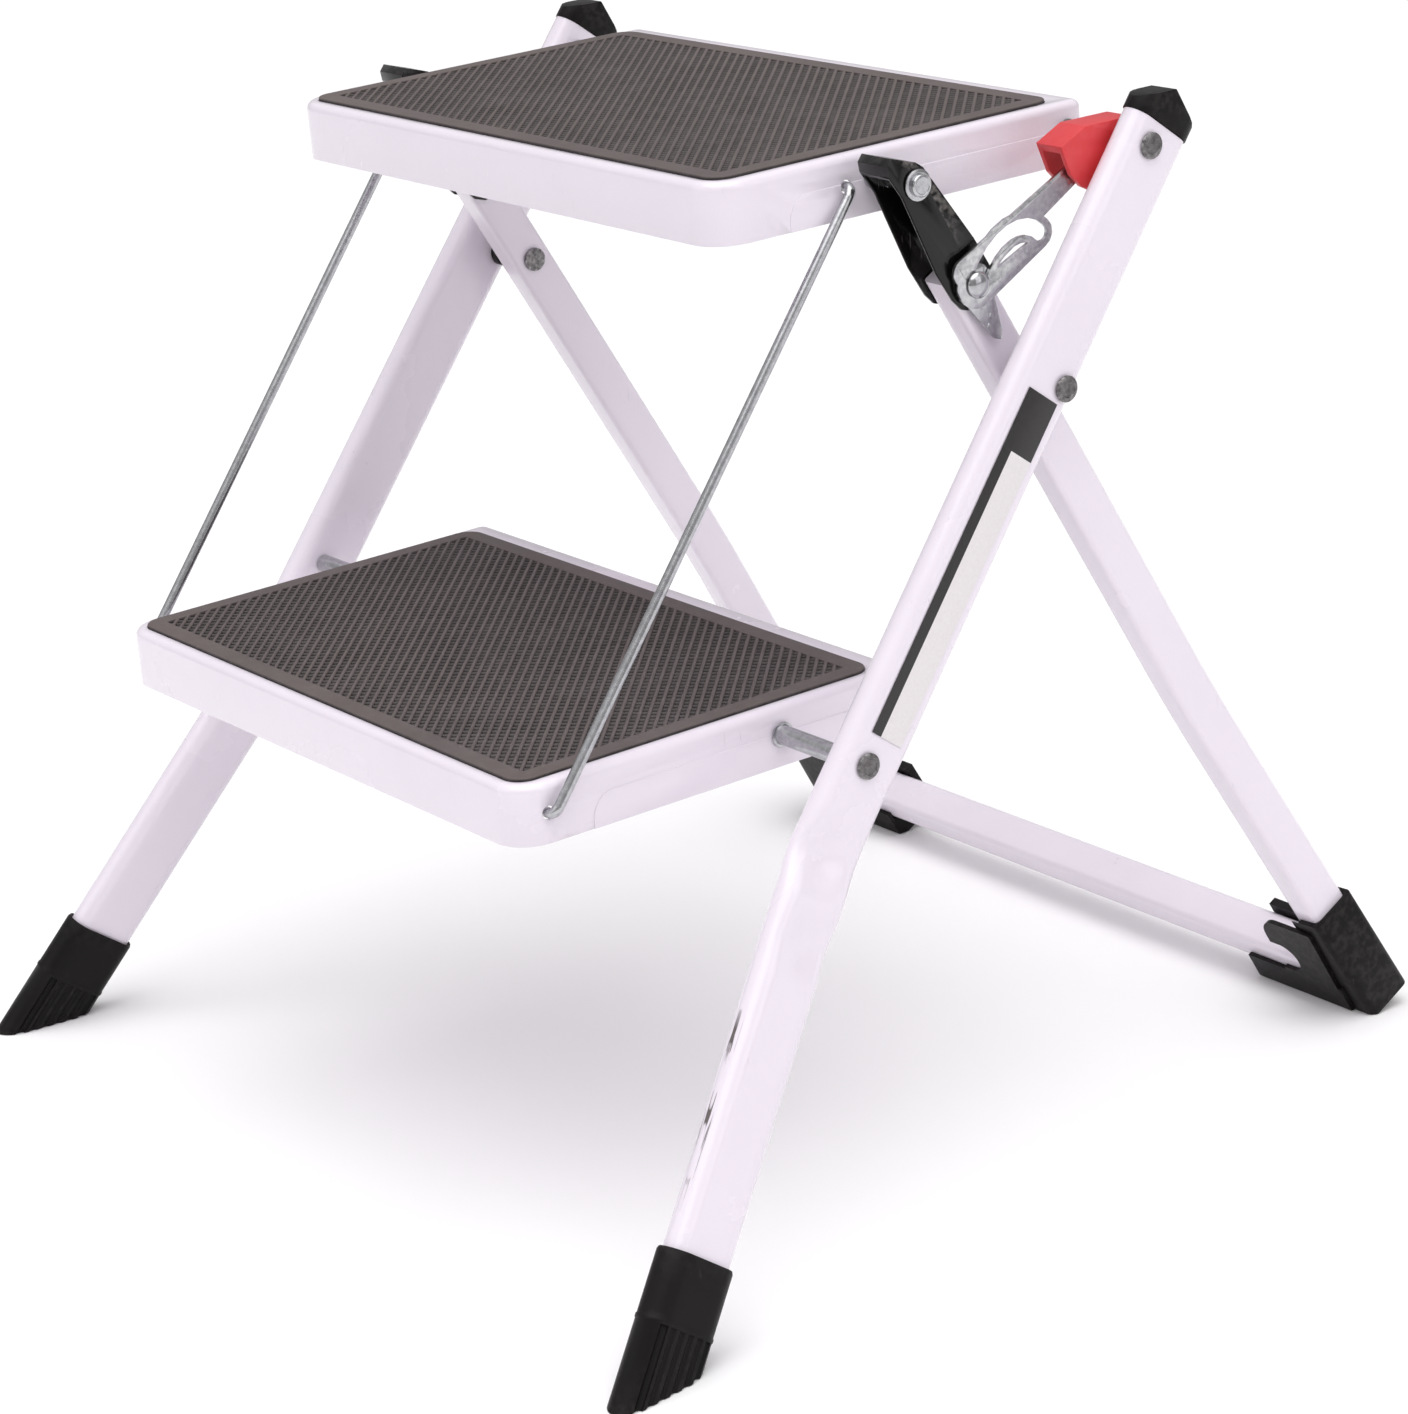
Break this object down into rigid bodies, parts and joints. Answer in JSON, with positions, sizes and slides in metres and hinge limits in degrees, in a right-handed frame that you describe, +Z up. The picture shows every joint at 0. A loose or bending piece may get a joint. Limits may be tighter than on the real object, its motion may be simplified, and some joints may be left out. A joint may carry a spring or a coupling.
{
  "type": "folding step stool",
  "caption": "Folding steel step stool with a lower and an upper matted tread, splayed front legs, a crossing rear frame, wire tie rods and a lever lock.",
  "frame": {"origin": "centre of the stool's footprint at floor level, open for use", "axes": "+X to the right of someone facing the steps, +Y from the lower step towards the rear legs, +Z up"},
  "size_m": [0.542, 0.4898, 0.4493],
  "materials": {
    "white_paint": "gloss powder coat",
    "black_paint": "gloss powder coat",
    "zinc_plate": "bright zinc plate",
    "mat_rubber": "ribbed matt",
    "black_plastic": "satin moulded",
    "red_plastic": "satin moulded",
    "label_paper": "blank coated label"
  },
  "bodies": {
    "front_frame": {"front_leg_right": "white_paint", "front_leg_left": "white_paint", "front_cap_right": "black_plastic", "front_cap_left": "black_plastic", "front_foot_right": "black_plastic", "front_foot_left": "black_plastic", "top_pivot_pin_right": "zinc_plate", "top_pivot_pin_left": "zinc_plate", "step_pivot_pin_right": "zinc_plate", "step_pivot_pin_left": "zinc_plate", "cross_pivot_pin_right": "zinc_plate", "cross_pivot_pin_left": "zinc_plate", "top_spacer_right": "zinc_plate", "top_spacer_left": "zinc_plate", "step_spacer_right": "zinc_plate", "step_spacer_left": "zinc_plate", "cross_washer_right": "black_plastic", "cross_washer_left": "black_plastic", "blank_label": "label_paper"},
    "rear_frame": {"rear_leg_right": "white_paint", "rear_leg_left": "white_paint", "rear_crossbar": "white_paint", "rear_boot_right": "black_plastic", "rear_boot_left": "black_plastic", "knee_pin_right": "zinc_plate", "knee_pin_left": "zinc_plate", "catch_plate": "zinc_plate"},
    "top_tread": {"top_step": "white_paint", "top_mat": "mat_rubber", "support_stud_right": "zinc_plate", "support_stud_left": "zinc_plate"},
    "lower_tread": {"lower_step": "white_paint", "lower_mat": "mat_rubber"},
    "tie_rod_right": {"tie_rod_right": "zinc_plate"},
    "tie_rod_left": {"tie_rod_left": "zinc_plate"},
    "support_link_right": {"support_link_right": "black_paint", "link_pin_right": "zinc_plate"},
    "support_link_left": {"support_link_left": "black_paint", "link_pin_left": "zinc_plate"},
    "lock_lever": {"lock_lever": "zinc_plate", "lock_handle": "red_plastic"}
  },
  "joints": [
    {"name": "rear_fold", "type": "hinge", "parent": "front_frame", "child": "rear_frame", "pos_m": [0, 0.05336, 0.33816], "axis": [-1, 0, 0], "range_deg": [0, 57.5]},
    {"name": "top_tread_hinge", "type": "hinge", "parent": "front_frame", "child": "top_tread", "pos_m": [0, 0.10765, 0.4287], "axis": [1, 0, 0], "range_deg": [0, 47.2]},
    {"name": "lower_tread_hinge", "type": "hinge", "parent": "front_frame", "child": "lower_tread", "pos_m": [0, -0.06438, 0.2074], "axis": [1, 0, 0], "range_deg": [0, 47.2]},
    {"name": "lock_lever_pivot", "type": "hinge", "parent": "front_frame", "child": "lock_lever", "pos_m": [0.19475, 0.10765, 0.4287], "axis": [1, 0, 0], "range_deg": [0, 23]},
    {"name": "tie_rod_right_hook", "type": "hinge", "parent": "top_tread", "child": "tie_rod_right", "pos_m": [0.167, -0.00935, 0.4278], "axis": [-1, 0, 0], "range_deg": [0, 47.2]},
    {"name": "tie_rod_left_hook", "type": "hinge", "parent": "top_tread", "child": "tie_rod_left", "pos_m": [-0.167, -0.00935, 0.4278], "axis": [-1, 0, 0], "range_deg": [0, 47.2]},
    {"name": "support_link_right_knee", "type": "hinge", "parent": "rear_frame", "child": "support_link_right", "pos_m": [0.1823, 0.02862, 0.38391], "axis": [1, 0, 0], "range_deg": [0, 154.8]},
    {"name": "support_link_left_knee", "type": "hinge", "parent": "rear_frame", "child": "support_link_left", "pos_m": [-0.1823, 0.02862, 0.38391], "axis": [1, 0, 0], "range_deg": [0, 154.8]}
  ],
  "couplings": [
    {"joint": "top_tread_hinge", "follows": "rear_fold", "ratio": 0.82087},
    {"joint": "lower_tread_hinge", "follows": "rear_fold", "ratio": 0.82087},
    {"joint": "lock_lever_pivot", "follows": "rear_fold", "ratio": 0.4},
    {"joint": "tie_rod_right_hook", "follows": "rear_fold", "ratio": 0.82087},
    {"joint": "tie_rod_left_hook", "follows": "rear_fold", "ratio": 0.82087},
    {"joint": "support_link_right_knee", "follows": "rear_fold", "ratio": 2.6922},
    {"joint": "support_link_left_knee", "follows": "rear_fold", "ratio": 2.6922}
  ]
}
